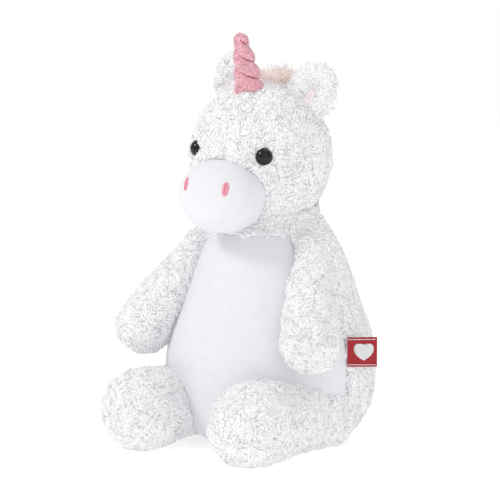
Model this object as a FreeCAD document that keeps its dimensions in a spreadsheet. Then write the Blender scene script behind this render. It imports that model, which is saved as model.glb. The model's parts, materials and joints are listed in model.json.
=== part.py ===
import FreeCAD, Part
import math
import os
import re
import Sketcher

# A sitting plush unicorn, made the way such a toy is sewn: furry covers over stuffed cores,
# a removable stuffing pod behind a zip under the seat, screw-free safety eyes with washers,
# and a spiral horn. Millimetres. The toy looks along -Y, its own left is +X, and Z = 0 is
# the surface that it sits on. The origin is the middle of the seat.

Vector = FreeCAD.Vector
Rotation = FreeCAD.Rotation
Placement = FreeCAD.Placement

doc = FreeCAD.newDocument("plush_unicorn")
sizes = doc.addObject("Spreadsheet::Sheet", "Sizes")

SIZES = {
    # torso, a pear turned about Z
    "torso_top": 159,
    "base_radius": 55,
    "base_curve": 50.5,
    "hip_radius": 79,
    "hip_height": 43,
    "waist_curve": 166,
    "waist_radius": 67,
    "waist_height": 105,
    "shoulder_radius": 45.5,
    "shoulder_height": 152,
    "rim_radius": 36,
    "rim_curve": 9,
    "panel_thickness": 3,
    "seat_thickness": 6,
    "liner_thickness": 1,
    "seam_angle": 82.5,
    "base_slope": 0.9,
    # neck and head
    "neck_height": 160,
    "neck_radius": 24,
    "joint_gap": 0.6,
    "head_radius": 52,
    "head_half_height": 54,
    "head_forward": 13,
    "head_height": 219,
    "head_tilt": 3.5,
    "cover_thickness": 2,
    # muzzle and nostrils
    "muzzle_half_width": 33.5,
    "muzzle_half_depth": 25,
    "muzzle_half_height": 27,
    "muzzle_forward": 62,
    "muzzle_height": 191,
    "nostril_apart": 36,
    "nostril_height": 199,
    "nostril_half_width": 2.5,
    "nostril_half_height": 5.5,
    "nostril_depth": 1.6,
    # safety eyes
    "eye_radius": 6.5,
    "eye_dome": 4.6,
    "eye_lift": 0.3,
    "eye_side": 30,
    "eye_forward": 40,
    "eye_up": 4,
    "shank_radius": 2.2,
    "shank_length": 9,
    "shank_gap": 0.1,
    "washer_radius": 6,
    "washer_thickness": 1.5,
    "washer_depth": 2.5,
    "washer_gap": 0.3,
    "washer_room": 0.4,
    "hole_excess": 1,
    # horn, forelock, mane
    "horn_root_radius": 9.5,
    "horn_tip_radius": 3.2,
    "horn_length": 46,
    "horn_forward": 31,
    "horn_height": 266,
    "horn_lean": 22,
    "horn_cover_thickness": 1.2,
    "horn_cord_radius": 0.8,
    "horn_cord_turns": 1.3,
    "horn_cord_start": 11,
    "horn_cord_gap": 0.15,
    "horn_socket_gap": 1.4,
    "forelock_half_width": 17,
    "forelock_half_depth": 14,
    "forelock_half_height": 10,
    "forelock_height": 271,
    "mane_width": 20,
    "mane_thickness": 8,
    "mane_start": 16,
    "mane_end_height": 186,
    # ears
    "ear_half_width": 16,
    "ear_half_depth": 7,
    "ear_half_height": 22,
    "ear_rise": 14,
    "ear_side": 33,
    "ear_forward": 6,
    "ear_height": 257,
    "ear_turn": 17,
    "left_ear_lean": 24,
    "right_ear_lean": 6,
    "ear_hollow_half_width": 12.5,
    "ear_hollow_half_depth": 8,
    "ear_hollow_half_height": 17.5,
    "ear_hollow_forward": 6,
    "ear_lining_thickness": 1.2,
    "ear_gap": 2.6,
    # arms
    "arm_root_radius": 8.5,
    "arm_hand_radius": 19,
    "shoulder_side": 54,
    "shoulder_forward": 18,
    "shoulder_pivot_height": 148,
    "hand_side": 79,
    "hand_forward": 61,
    "hand_height": 86,
    # legs
    "leg_root_radius": 24,
    "foot_radius": 28,
    "hip_side": 54,
    "hip_forward": 6,
    "hip_pivot_height": 25,
    "foot_side": 50,
    "foot_forward": 98,
    "foot_height": 28.6,
    "leg_notch_radius": 26.5,
    "leg_notch_inside": 21,
    "leg_up_angle": 15,
    "leg_down_angle": 48,
    # tail
    "tail_root_radius": 6,
    "tail_end_radius": 11,
    "tail_length": 40,
    "tail_back": 87,
    "tail_height": 54,
    "tail_slope": 20,
    # woven label in the left side seam
    "label_length": 22,
    "label_width": 22.5,
    "label_thickness": 1.2,
    "label_height": 62,
    "label_angle": 35,
    "label_gap": 0.8,
    # zip under the seat, along X
    "zip_back": 22,
    "zip_length": 88,
    "zip_slot_width": 12,
    "zip_level": 4,
    "zip_margin": 3,
    "stop_length": 2,
    "stop_gap": 0.1,
    "tape_thickness": 0.6,
    "rows_apart": 1.4,
    "tooth_pitch": 2.4,
    "tooth_length": 1.2,
    "tooth_depth": 1.4,
    "tooth_height": 1.2,
    "bead_width": 0.8,
    "slider_length": 9,
    "slider_width": 7.6,
    "slider_plate": 0.8,
    "slider_gap": 0.2,
    "slider_start": 38,
    "divider_width": 0.9,
    "pull_length": 18,
    "pull_width": 6,
    "pull_thickness": 0.9,
    "pull_level": 1.2,
    "lug_width": 2.4,
    "lug_length": 2.4,
    "lug_drop": 0.9,
    "lug_hole_radius": 0.6,
    "pin_radius": 0.45,
    "pin_recess": 0.25,
    "fork_length": 3,
    "fork_back": 1,
    "fork_gap": 0.3,
}

for row, (name, size) in enumerate(SIZES.items(), start=1):
    sizes.set(f"A{row}", name)
    sizes.set(f"B{row}", str(size))
    sizes.setAlias(f"B{row}", name)
doc.recompute()


def size(name):
    """A number read back from the sheet."""
    return float(sizes.get(name))


def worth(expression):
    """What an expression on the sheet comes to, as a plain number."""
    return float(sizes.evalExpression(expression))


def sheet(words):
    """Puts the sheet's name before each alias of an expression."""
    return re.sub("[a-z_]+", lambda word: "Sizes." * (word[0] in SIZES) + word[0], words)


def bind(thing, **properties):
    """Ties properties of an object to expressions on the sheet."""
    for name, words in properties.items():
        thing.setExpression(name, sheet(words))
    return thing


# ---- plain solids and booleans -------------------------------------------------------


def block(label, length, width, height, corner):
    """A box of expressions, with its lowest corner at a point."""
    thing = doc.addObject("Part::Box", label)
    bind(thing, Length=length, Width=width, Height=height)
    thing.Placement.Base = corner
    return thing


def ball(label, radius, centre):
    thing = doc.addObject("Part::Sphere", label)
    bind(thing, Radius=radius)
    thing.Placement.Base = centre
    return thing


def egg(label, across, deep, tall, centre):
    """An ellipsoid by its half sizes along X, Y and Z."""
    thing = doc.addObject("Part::Ellipsoid", label)
    bind(thing, Radius1=tall, Radius2=across, Radius3=deep)
    thing.Placement.Base = centre
    return thing


def rod(label, radius, height, placement):
    thing = doc.addObject("Part::Cylinder", label)
    bind(thing, Radius=radius, Height=height)
    thing.Placement = placement
    return thing


def joined(label, pieces):
    thing = doc.addObject("Part::MultiFuse", label)
    thing.Shapes = pieces
    return thing


def overlap(label, pieces):
    thing = doc.addObject("Part::MultiCommon", label)
    thing.Shapes = pieces
    return thing


def less(label, base, tools):
    """A solid with other solids taken away from it."""
    tool = tools[0]
    if len(tools) > 1:
        tool = joined(label + "_tools", tools)
    thing = doc.addObject("Part::Cut", label)
    thing.Base = base
    thing.Tool = tool
    return thing


# ---- sketched solids -----------------------------------------------------------------


def plane(body, role):
    """One of a body's own origin planes."""
    for feature in body.Origin.OriginFeatures:
        if feature.Role == role:
            return feature


def sketch_on(body, role, label):
    drawing = body.newObject("Sketcher::SketchObject", label)
    drawing.AttachmentSupport = (plane(body, role), [""])
    drawing.MapMode = "FlatFace"
    return drawing


def pin_point(drawing, side, words_x, words_y):
    """Ties the start of a side to two expressions, or to an axis where one is zero."""
    for kind, words, axis in (("DistanceX", words_x, -2), ("DistanceY", words_y, -1)):
        if words == "0":
            drawing.addConstraint(Sketcher.Constraint("PointOnObject", side, 1, axis))
        else:
            amount = worth(sheet(words))
            index = drawing.addConstraint(Sketcher.Constraint(kind, -1, 1, side, 1, amount))
            drawing.setExpression(f"Constraints[{index}]", sheet(words))


def draw(drawing, corners, curves):
    """A closed outline, anticlockwise through its corners. curves gives the radius of each
    side that bulges outward; every other side is straight."""
    points = [Vector(worth(sheet(x)), worth(sheet(y)), 0) for x, y in corners]
    count = len(points)
    for side in range(count):
        start = points[side]
        end = points[(side + 1) % count]
        if side in curves:
            radius = worth(sheet(curves[side]))
            along = end - start
            left = Vector(-along.y, along.x, 0).normalize()
            reach = math.sqrt(radius ** 2 - (along.Length / 2) ** 2)
            centre = start + along / 2 + left * reach
            first = math.atan2(start.y - centre.y, start.x - centre.x)
            last = math.atan2(end.y - centre.y, end.x - centre.x)
            circle = Part.Circle(centre, Vector(0, 0, 1), radius)
            drawing.addGeometry(Part.ArcOfCircle(circle, first, last))
        else:
            drawing.addGeometry(Part.LineSegment(start, end))
    for side in range(count):
        drawing.addConstraint(Sketcher.Constraint("Coincident", side, 2, (side + 1) % count, 1))
    for side, (x, y) in enumerate(corners):
        pin_point(drawing, side, x, y)
    for side, words in curves.items():
        radius = worth(sheet(words))
        index = drawing.addConstraint(Sketcher.Constraint("Radius", side, radius))
        drawing.setExpression(f"Constraints[{index}]", sheet(words))


def turned(label, corners, curves):
    """An outline in the XZ plane turned about Z."""
    body = doc.addObject("PartDesign::Body", label)
    drawing = sketch_on(body, "XZ_Plane", label + "_outline")
    draw(drawing, corners, curves)
    turn = body.newObject("PartDesign::Revolution", label + "_turn")
    turn.Profile = drawing
    turn.ReferenceAxis = (drawing, ["V_Axis"])
    turn.Angle = 360
    return body


def limb(label, root, end, length):
    """A stuffed limb along its own Z: a cone with a round end of its own radius at each end.
    Its origin is the centre of the root's round end, and the cone's side is tangent to both."""
    slope = f"( ( {root} ) - ( {end} ) ) / ( {length} )"
    flat = f"sqrt(1 - {slope} * {slope})"
    corners = [
        ("0", f"0 - ( {root} )"),
        (f"( {root} ) * {flat}", f"( {root} ) * {slope}"),
        (f"( {end} ) * {flat}", f"( {length} ) + ( {end} ) * {slope}"),
        ("0", f"( {length} ) + ( {end} )"),
    ]
    return turned(label, corners, {0: root, 2: end})


def along(start, end):
    """The placement that puts a limb's origin at start and points its Z at end."""
    return Placement(start, Rotation(Vector(0, 0, 1), end - start))


def gap_apart(start, end):
    return (end - start).Length


def mirror_side(point, side):
    return Vector(point.x * side, point.y, point.z)


SIDES = {"left": 1, "right": -1}

# a length beyond every solid here, for cutting tools
FAR = 300


# ---- places worked out from the sheet ------------------------------------------------

NECK = Vector(0, 0, size("neck_height"))
HEAD = Vector(0, -size("head_forward"), size("head_height"))
HORN = Vector(0, -size("horn_forward"), size("horn_height"))
MUZZLE = Vector(0, -size("muzzle_forward"), size("muzzle_height"))
TILT = Placement(Vector(), Rotation(Vector(0, 1, 0), size("head_tilt")), HEAD)
ZIP_Y = size("zip_back")
ZIP_Z = size("zip_level")


def shoulder(side):
    place = Vector(size("shoulder_side"), -size("shoulder_forward"), size("shoulder_pivot_height"))
    return mirror_side(place, side)


def hand(side):
    return mirror_side(Vector(size("hand_side"), -size("hand_forward"), size("hand_height")), side)


def hip(side):
    return mirror_side(Vector(size("hip_side"), -size("hip_forward"), size("hip_pivot_height")), side)


def foot(side):
    return mirror_side(Vector(size("foot_side"), -size("foot_forward"), size("foot_height")), side)


# ---- torso ---------------------------------------------------------------------------


def torso_layer(label, inset, floor):
    """The pear of the torso, its skin moved inward by inset and its bottom raised to floor."""
    corners = [
        ("0", floor),
        (f"base_radius - {inset} + {floor} * base_slope", floor),
        (f"hip_radius - {inset}", "hip_height"),
        (f"waist_radius - {inset}", "waist_height"),
        (f"shoulder_radius - {inset}", "shoulder_height - " + inset),
        (f"rim_radius - {inset}", f"torso_top - {inset}"),
        ("0", f"torso_top - {inset}"),
    ]
    return turned(label, corners, {1: "base_curve", 2: "waist_curve", 4: "rim_curve"})


def leg_notch(side):
    """The room that a leg needs as it turns about its hip: a round end and two straight edges
    that open forward, one above the leg at its highest and one below it at its lowest."""
    pivot = hip(side)
    radius = size("leg_notch_radius")
    up = math.radians(size("leg_up_angle"))
    down = math.radians(size("leg_down_angle"))
    reach = 4 * radius
    top = pivot + Vector(0, radius * math.sin(up), radius * math.cos(up))
    far_top = top + Vector(0, -math.cos(up), math.sin(up)) * reach
    low = pivot + Vector(0, radius * math.sin(down), -radius * math.cos(down))
    far_low = low + Vector(0, -math.cos(down), -math.sin(down)) * reach
    back = pivot + Vector(0, radius, 0)
    edges = [
        Part.LineSegment(far_low, low).toShape(),
        Part.Arc(low, back, top).toShape(),
        Part.LineSegment(top, far_top).toShape(),
        Part.LineSegment(far_top, far_low).toShape(),
    ]
    face = Part.Face(Part.Wire(edges))
    inside = size("leg_notch_inside")
    face.translate(Vector(side * inside - pivot.x, 0, 0))
    notch = doc.addObject("Part::Feature", "leg_notch")
    notch.Shape = face.extrude(Vector(side * FAR, 0, 0))
    return notch


def front_wedge():
    """The sector in front of the two side seams, to split the skin into belly and back."""
    angle = math.radians(size("seam_angle"))
    corner = Vector(FAR * math.sin(angle), -FAR * math.cos(angle), 0)
    points = [Vector(), Vector(-corner.x, corner.y, 0), Vector(-FAR, -FAR, 0),
              Vector(FAR, -FAR, 0), corner, Vector()]
    wedge = doc.addObject("Part::Feature", "front_wedge")
    wedge.Shape = Part.Face(Part.makePolygon(points)).extrude(Vector(0, 0, FAR))
    return wedge


def torso():
    skin = torso_layer("torso_skin", "0", "0")
    room = torso_layer("torso_room", "panel_thickness", "seat_thickness")
    core = torso_layer("torso_core", "( panel_thickness + liner_thickness )",
                       "( seat_thickness + liner_thickness )")
    hollows = [ball("neck_socket", "neck_radius + joint_gap", NECK)]
    for side in SIDES.values():
        hollows.append(leg_notch(side))
        hollows.append(ball("arm_socket", "arm_root_radius + joint_gap", shoulder(side)))
    hollow = joined("torso_hollows", hollows)
    walls = less("torso_walls", less("torso_tube", skin, [room]), [hollow])
    seat_slab = block("seat_slab", str(FAR), str(FAR), "seat_thickness", Vector(-FAR / 2, -FAR / 2, 0))
    slot = block("zip_slot", "zip_length + 2 * zip_margin", "zip_slot_width", "seat_thickness",
                 Vector(-size("zip_length") / 2 - size("zip_margin"), ZIP_Y - size("zip_slot_width") / 2, 0))
    seat = less("seat_panel", overlap("seat_whole", [walls, seat_slab]), [slot])
    sides = less("torso_sides", walls, [seat_slab])
    wedge = front_wedge()
    belly = overlap("belly_panel", [sides, wedge])
    back = less("back_panel", sides, [wedge])
    liner = less("body_pod_liner", less("body_pod_bag", room, [core]), [hollow])
    fill = less("body_pod_fill", core, [hollow])
    return [seat, belly, back, liner, fill]


def side_label():
    """A folded woven ribbon that stands out of the left side seam."""
    angle = size("seam_angle") - 90
    seam = Vector(math.cos(math.radians(angle)), math.sin(math.radians(angle)), 0)
    radius = worth(sheet("hip_radius + label_gap"))
    place = seam * radius + Vector(0, 0, size("label_height"))
    ribbon = doc.addObject("Part::Box", "side_label")
    bind(ribbon, Length="label_length", Width="label_thickness", Height="label_width")
    ribbon.Placement = Placement(place, Rotation(Vector(0, 0, 1), size("label_angle")))
    return ribbon


# ---- zip under the seat --------------------------------------------------------------


def zip_tape(name, side):
    """A strip of tape sewn to one long edge of the slot."""
    wide = worth(sheet("( zip_slot_width - rows_apart ) / 2 - bead_width - tooth_depth"))
    edge = worth(sheet("zip_slot_width / 2"))
    low_y = ZIP_Y + (edge - wide if side > 0 else -edge)
    corner = Vector(-size("zip_length") / 2 - size("zip_margin"), low_y,
                    ZIP_Z - size("tape_thickness") / 2)
    return block(f"zip_tape_{name}", "zip_length + 2 * zip_margin",
                 "( zip_slot_width - rows_apart ) / 2 - bead_width - tooth_depth",
                 "tape_thickness", corner)


def zip_teeth(name, side):
    """One row: a bead along the tape's edge with teeth in a row on its inner side."""
    body = doc.addObject("PartDesign::Body", f"zip_teeth_{name}")
    bead = sketch_on(body, "XY_Plane", f"bead_{name}")
    draw(bead, [("0", "0"), ("zip_length", "0"), ("zip_length", "bead_width"), ("0", "bead_width")], {})
    bead_pad = body.newObject("PartDesign::Pad", f"bead_pad_{name}")
    bead_pad.Profile = bead
    bead_pad.setExpression("Length", sheet("tooth_height"))
    tooth = sketch_on(body, "XY_Plane", f"tooth_{name}")
    draw(tooth, [("tooth_pitch / 2", "bead_width / 2"),
                 ("tooth_pitch / 2 + tooth_length", "bead_width / 2"),
                 ("tooth_pitch / 2 + tooth_length", "bead_width + tooth_depth"),
                 ("tooth_pitch / 2", "bead_width + tooth_depth")], {})
    tooth_pad = body.newObject("PartDesign::Pad", f"tooth_pad_{name}")
    tooth_pad.Profile = tooth
    tooth_pad.setExpression("Length", sheet("tooth_height"))
    doc.recompute()
    row = body.newObject("PartDesign::LinearPattern", f"tooth_row_{name}")
    row.Originals = [tooth_pad]
    row.Direction = (tooth, ["H_Axis"])
    count = math.floor(size("zip_length") / size("tooth_pitch"))
    row.Length = (count - 1) * size("tooth_pitch")
    row.Occurrences = count
    body.Tip = row
    # the bead lies against the tape, and its teeth point to the middle of the zip
    reach = worth(sheet("rows_apart / 2 + bead_width + tooth_depth"))
    start = Vector(side * size("zip_length") / 2, ZIP_Y + side * reach, ZIP_Z - size("tooth_height") / 2)
    turn = 180 if side > 0 else 0
    body.Placement = Placement(start, Rotation(Vector(0, 0, 1), turn))
    return body


def zip_stops():
    """A stop at each end of the rows."""
    deep = "rows_apart + 2 * tooth_depth + 2 * bead_width"
    low_y = ZIP_Y - worth(sheet(deep)) / 2
    low_z = ZIP_Z - size("tooth_height") / 2
    near = size("zip_length") / 2 + size("stop_gap")
    far = near + size("stop_length")
    ends = [block("stop_low", "stop_length", deep, "tooth_height", Vector(-far, low_y, low_z)),
            block("stop_high", "stop_length", deep, "tooth_height", Vector(near, low_y, low_z))]
    return joined("zip_stops", ends)


def zip_slider():
    """Two plates with a channel for the rows, a divider between the rows and a lug below."""
    gap = size("slider_gap")
    plate = size("slider_plate")
    room = size("tooth_height") + 2 * gap
    low = ZIP_Z - room / 2
    corner = Vector(-size("slider_start") - size("slider_length") / 2, ZIP_Y - size("slider_width") / 2, 0)
    upper = block("slider_upper", "slider_length", "slider_width", "slider_plate",
                  corner + Vector(0, 0, low + room))
    lower = block("slider_lower", "slider_length", "slider_width", "slider_plate",
                  corner + Vector(0, 0, low - plate))
    divider = block("slider_divider", "slider_length", "divider_width",
                    "tooth_height + 2 * slider_gap + slider_plate",
                    Vector(corner.x, ZIP_Y - size("divider_width") / 2, low - plate / 2))
    lug_floor = size("pull_level") - size("lug_drop")
    lug_depth = low - plate / 2 - lug_floor
    lug = block("slider_lug", "lug_length", "lug_width", str(lug_depth),
                Vector(-size("slider_start") - size("lug_length") / 2, ZIP_Y - size("lug_width") / 2,
                       lug_floor))
    hole_end = ZIP_Y + size("lug_width") / 2 + size("hole_excess")
    hole = rod("lug_hole", "lug_hole_radius", "lug_width + 2 * hole_excess",
               Placement(Vector(-size("slider_start"), hole_end, size("pull_level")),
                         Rotation(Vector(1, 0, 0), 90)))
    return less("zip_slider", joined("slider_plates", [upper, lower, divider, lug]), [hole])


def zip_pull():
    """A flat tab whose forked end holds a pin through the slider's lug."""
    level = size("pull_level") - size("pull_thickness") / 2
    x = -size("slider_start")
    tab = block("pull_tab", "pull_length", "pull_width", "pull_thickness",
                Vector(x - size("pin_radius"), ZIP_Y - size("pull_width") / 2, level))
    fork = block("pull_fork", "fork_length", "lug_width + 2 * fork_gap",
                 "pull_thickness + 2 * hole_excess",
                 Vector(x - size("fork_back"), ZIP_Y - size("lug_width") / 2 - size("fork_gap"),
                        level - size("hole_excess")))
    bar_end = ZIP_Y + size("pull_width") / 2 - size("pin_recess")
    bar = rod("pull_pin", "pin_radius", "pull_width - 2 * pin_recess",
              Placement(Vector(x, bar_end, size("pull_level")), Rotation(Vector(1, 0, 0), 90)))
    return joined("zip_pull", [less("pull_plate", tab, [fork]), bar])


# ---- head ----------------------------------------------------------------------------


def head_ball(label, inset):
    return egg(label, "head_radius - " + inset, "head_radius - " + inset,
               "head_half_height - " + inset, HEAD)


def muzzle_ball(label, inset):
    return egg(label, "muzzle_half_width - " + inset, "muzzle_half_depth - " + inset,
               "muzzle_half_height - " + inset, MUZZLE)


def eye_frame(side):
    """The tangent frame of the head under an eye, with Z pointing outward."""
    outward = Vector(side * size("eye_side"), -size("eye_forward"), size("eye_up"))
    scale = math.sqrt((outward.x ** 2 + outward.y ** 2) / size("head_radius") ** 2
                      + (outward.z / size("head_half_height")) ** 2)
    return Placement(HEAD + outward / scale, Rotation(Vector(0, 0, 1), outward))


def eye(name, side):
    """A domed eye on a plain shank, one moulding."""
    corners = [
        ("0", "0 - shank_length"),
        ("shank_radius", "0 - shank_length"),
        ("shank_radius", "eye_lift"),
        ("eye_radius", "eye_lift"),
        ("0", "eye_lift + eye_dome"),
    ]
    dome = "(eye_radius * eye_radius + eye_dome * eye_dome) / (2 * eye_dome)"
    body = turned(f"{name}_eye", corners, {3: dome})
    body.Placement = TILT.multiply(eye_frame(side))
    return body


def washer(name, side):
    """The ring that is pressed onto the shank behind the cover."""
    frame = eye_frame(side)
    under = frame.multiply(Placement(Vector(0, 0, -worth(sheet("washer_depth + washer_thickness"))),
                                     Rotation()))
    disc = rod("washer_disc", "washer_radius", "washer_thickness", under)
    bore = rod("washer_bore", "shank_radius + shank_gap", "washer_thickness", under)
    ring = less(f"{name}_eye_washer", disc, [bore])
    ring.Placement = TILT
    return ring


def eye_hole(side):
    frame = eye_frame(side)
    back = frame.multiply(Placement(Vector(0, 0, -size("shank_length") - size("hole_excess")), Rotation()))
    return rod("eye_hole", "shank_radius + shank_gap", "shank_length + 4 * hole_excess", back)


def eye_pocket(side):
    frame = eye_frame(side)
    back = frame.multiply(Placement(Vector(0, 0, -size("shank_length") - size("hole_excess")), Rotation()))
    return rod("eye_pocket", "washer_radius + washer_gap",
               "shank_length + hole_excess - cover_thickness + washer_room", back)


def nostril(name, side):
    """An oval of satin stitch that stands on the muzzle's skin."""
    x = side * size("nostril_apart") / 2
    up = size("nostril_height") - MUZZLE.z
    share = 1 - (x / size("muzzle_half_width")) ** 2 - (up / size("muzzle_half_height")) ** 2
    y = MUZZLE.y - size("muzzle_half_depth") * math.sqrt(share)
    oval = egg("nostril_oval", "nostril_half_width", "nostril_depth", "nostril_half_height",
               Vector(x, y, size("nostril_height")))
    patch = less(f"{name}_nostril", oval, [muzzle_ball("muzzle_under_nostril", "0")])
    patch.Placement = TILT
    return patch


def head():
    hollows = [ball("head_neck_socket", "neck_radius + joint_gap", TILT.inverse().multVec(NECK)),
               ball("horn_socket", "horn_root_radius + horn_socket_gap", HORN)]
    outer = head_ball("head_outer", "0")
    cover = less("head_cover", outer,
                 [head_ball("head_inner", "cover_thickness"), *hollows,
                  eye_hole(1), eye_hole(-1)])
    soft = [*hollows, eye_pocket(1), eye_pocket(-1)]
    liner = less("head_pod_liner", head_ball("head_bag", "cover_thickness"),
                 [head_ball("head_core", "( cover_thickness + liner_thickness )"), *soft])
    fill = less("head_pod_fill", head_ball("head_stuffing", "( cover_thickness + liner_thickness )"), soft)
    muzzle_core = muzzle_ball("muzzle_core", "cover_thickness")
    muzzle_cover = less("muzzle_cover", muzzle_ball("muzzle_outer", "0"), [muzzle_core, outer])
    muzzle_fill = less("muzzle_fill", muzzle_core, [outer])
    pieces = [cover, liner, fill, muzzle_cover, muzzle_fill, forelock(outer), mane(outer)]
    for piece in pieces:
        piece.Placement = TILT
    for name, side in SIDES.items():
        pieces += [eye(name, side), washer(name, side), nostril(name, side)]
    return pieces


def forelock(outer):
    tuft = egg("forelock_egg", "forelock_half_width", "forelock_half_depth", "forelock_half_height",
               Vector(0, 0, size("forelock_height")))
    return less("forelock", tuft, [outer])


def mane(outer):
    """A strip over the back of the head, from behind the forelock to the nape."""
    thick = head_ball("mane_outer", "( 0 - mane_thickness )")
    strip = block("mane_strip", "mane_width", str(FAR), str(FAR),
                  Vector(-size("mane_width") / 2, size("mane_start"), size("mane_end_height")))
    return less("mane", overlap("mane_band", [thick, strip]), [outer])


def horn():
    """A leaning cone with a round root, two cords wound round it and a stuffed core."""
    shell = limb("horn_skin", "horn_root_radius", "horn_tip_radius", "horn_length")
    core = limb("horn_fill", "horn_root_radius - horn_cover_thickness",
                "horn_tip_radius - horn_cover_thickness", "horn_length")
    cord = doc.addObject("Part::Feature", "horn_cord")
    cord.Shape = Part.makeCompound([horn_spiral(0), horn_spiral(math.pi)])
    lean = TILT.multiply(Placement(HORN, Rotation(Vector(1, 0, 0), size("horn_lean"))))
    for thing in (shell, core, cord):
        thing.Placement = lean
    return [less("horn_cover", shell, [core]), core, cord]


def horn_spiral(first_angle):
    """One cord: a circle swept along a left-handed spiral on the horn's cone."""
    root = size("horn_root_radius")
    tip = size("horn_tip_radius")
    length = size("horn_length")
    cord = size("horn_cord_radius")
    start = size("horn_cord_start")
    taper = math.asin((root - tip) / length)
    points_per_turn = 24
    steps = math.ceil(points_per_turn * size("horn_cord_turns"))
    points = []
    for step in range(steps + 1):
        share = step / steps
        height = start + (length - start) * share
        radius = tip / math.cos(taper) + (length - height) * math.tan(taper) + cord + size("horn_cord_gap")
        angle = first_angle - 2 * math.pi * size("horn_cord_turns") * share
        points.append(Vector(radius * math.cos(angle), radius * math.sin(angle), height))
    curve = Part.BSplineCurve()
    curve.interpolate(points)
    path = curve.toShape()
    heading = path.tangentAt(path.FirstParameter)
    ring = Part.Wire([Part.makeCircle(cord, points[0], heading)])
    return Part.Wire([path]).makePipeShell([ring], True, False)


def ear(name, side):
    """A cupped ear: a furry back and a thin lining in its hollow, cut clear of the head."""
    lean = size(f"{name}_ear_lean")
    place = Vector(side * size("ear_side"), -size("ear_forward"), size("ear_height"))
    frame = Placement(place, Rotation(Vector(0, 1, 0), side * lean).multiply(
        Rotation(Vector(0, 0, 1), side * size("ear_turn"))))
    rise = Vector(0, 0, size("ear_rise"))
    front = rise - Vector(0, size("ear_hollow_forward"), 0)
    whole = egg("ear_whole", "ear_half_width", "ear_half_depth", "ear_half_height", rise)
    hollow = egg("ear_hollow", "ear_hollow_half_width", "ear_hollow_half_depth",
                 "ear_hollow_half_height", front)
    inner = egg("ear_inner", "ear_hollow_half_width - ear_lining_thickness",
                "ear_hollow_half_depth - ear_lining_thickness",
                "ear_hollow_half_height - ear_lining_thickness", front)
    shell = less("ear_shell", whole, [hollow])
    sheet_of_lining = overlap("ear_sheet", [whole, less("ear_skin", hollow, [inner])])
    pieces = []
    for label, thing in ((f"{name}_ear_back", shell), (f"{name}_ear_lining", sheet_of_lining)):
        thing.Placement = frame
        piece = less(label, thing, [head_ball("ear_clearance", "( 0 - ear_gap )")])
        piece.Placement = TILT
        pieces.append(piece)
    return pieces


# ---- neck, arms, legs and tail -------------------------------------------------------


def stuffed_limb(name, start, end, root, tip):
    """A cover and the stuffing inside it."""
    length = str(gap_apart(start, end))
    skin = limb(f"{name}_skin", root, tip, length)
    fill = limb(f"{name}_fill", root + " - cover_thickness", tip + " - cover_thickness", length)
    skin.Placement = along(start, end)
    fill.Placement = along(start, end)
    return [less(f"{name}_cover", skin, [fill]), fill]


def tail():
    start = Vector(0, size("tail_back"), size("tail_height"))
    angle = math.radians(size("tail_slope"))
    end = start + Vector(0, math.sin(angle), -math.cos(angle)) * size("tail_length")
    piece = limb("tail", "tail_root_radius", "tail_end_radius", "tail_length")
    piece.Placement = along(start, end)
    return piece


parts = torso() + [side_label(), zip_stops(), zip_slider(), zip_pull()]
for name, side in (("front", -1), ("back", 1)):
    parts += [zip_tape(name, side), zip_teeth(name, side)]
parts.append(ball("neck_fill", "neck_radius", NECK))
parts += head() + horn()
for name, side in SIDES.items():
    parts += ear(name, side)
    parts += stuffed_limb(f"{name}_arm", shoulder(side), hand(side), "arm_root_radius", "arm_hand_radius")
    parts += stuffed_limb(f"{name}_leg", hip(side), foot(side), "leg_root_radius", "foot_radius")
parts.append(tail())

doc.recompute()
for thing in doc.Objects:
    if "Invalid" in thing.State or "Error" in thing.State:
        raise RuntimeError(f"{thing.Label} could not be built")
os.makedirs("parts", exist_ok=True)
for part in parts:
    if part.Shape.isNull() or not part.Shape.isValid():
        raise RuntimeError(f"{part.Label} has no valid shape")
    solids = len(part.Shape.Solids)
    print(f"{part.Label}: {solids} solid(s), {part.Shape.Volume:.0f} cubic mm")
    part.Shape.exportStep(f"parts/{part.Label}.step")
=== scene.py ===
import json
import math

import bpy
import numpy as np
from mathutils import Matrix, Vector, noise


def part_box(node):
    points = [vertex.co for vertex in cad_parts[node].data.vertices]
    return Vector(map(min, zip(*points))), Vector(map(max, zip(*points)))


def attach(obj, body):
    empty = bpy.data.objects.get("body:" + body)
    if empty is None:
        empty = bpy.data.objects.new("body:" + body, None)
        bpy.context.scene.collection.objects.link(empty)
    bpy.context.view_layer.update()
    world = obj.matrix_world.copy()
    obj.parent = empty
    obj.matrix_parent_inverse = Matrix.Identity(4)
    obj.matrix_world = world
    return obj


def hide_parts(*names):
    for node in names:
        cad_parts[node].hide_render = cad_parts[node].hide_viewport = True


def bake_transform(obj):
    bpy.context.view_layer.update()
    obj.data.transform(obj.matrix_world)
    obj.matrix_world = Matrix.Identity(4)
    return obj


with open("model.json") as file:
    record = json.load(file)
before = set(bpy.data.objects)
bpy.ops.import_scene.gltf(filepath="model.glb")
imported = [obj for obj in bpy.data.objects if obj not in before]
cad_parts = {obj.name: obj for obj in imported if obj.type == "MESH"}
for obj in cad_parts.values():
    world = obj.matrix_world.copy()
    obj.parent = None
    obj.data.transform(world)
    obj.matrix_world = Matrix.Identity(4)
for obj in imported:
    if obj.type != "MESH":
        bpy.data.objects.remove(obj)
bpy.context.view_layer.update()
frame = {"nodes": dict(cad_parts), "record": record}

# The sitting plush unicorn's looks: puffed skins, curly pile in real geometry, a bouclé horn,
# satin nostrils and a woven label, all placed from the frame. Metres; the toy looks along -Y.

MM = 0.001
RECORD = frame["record"]
JOINTS = {joint["name"]: joint for joint in RECORD["behaviour"]["joints"]}
SIDES = {"left": 1, "right": -1}


def pivot(name):
    return Vector(JOINTS[name]["pos_m"])


def middle(node):
    low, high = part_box(node)
    return (low + high) / 2


def half(node):
    low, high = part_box(node)
    return (high - low) / 2


# ---- places from the frame -----------------------------------------------------------

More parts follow.
